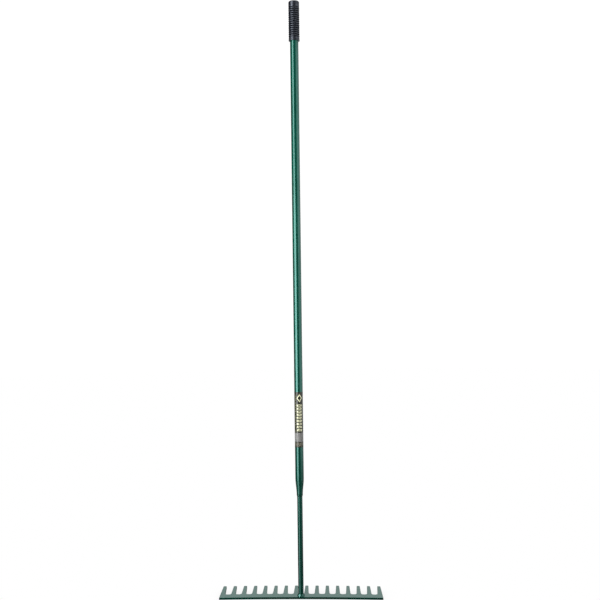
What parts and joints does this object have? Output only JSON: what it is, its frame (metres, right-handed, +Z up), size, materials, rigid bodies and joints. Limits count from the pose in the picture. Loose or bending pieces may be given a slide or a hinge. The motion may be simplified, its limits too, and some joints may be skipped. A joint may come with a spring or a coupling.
{
  "type": "level-head rake",
  "caption": "Level-head steel rake: flat comb of tapered teeth welded across a round shank, held in a long swaged tubular handle with a ribbed grip.",
  "frame": {"origin": "where the handle's centre line meets the underside of the head", "axes": "+Z up the handle to the grip, +Y the way the teeth point, +X along the head"},
  "size_m": [0.494, 0.0866, 1.8011],
  "materials": {
    "green_coat": "gloss powder coat with a faint orange peel",
    "bare_steel": "as drawn, lightly oiled",
    "label_film": "printed self-adhesive film",
    "black_grip": "semi-matt moulded soft plastic"
  },
  "bodies": {
    "root": {"rake_head": "green_coat", "head_shank": "green_coat", "foot_weld": "green_coat", "handle_tube": "green_coat", "shank_bush": "bare_steel", "mouth_weld": "green_coat", "label_wrap": "label_film", "hand_grip": "black_grip"}
  },
  "joints": []
}
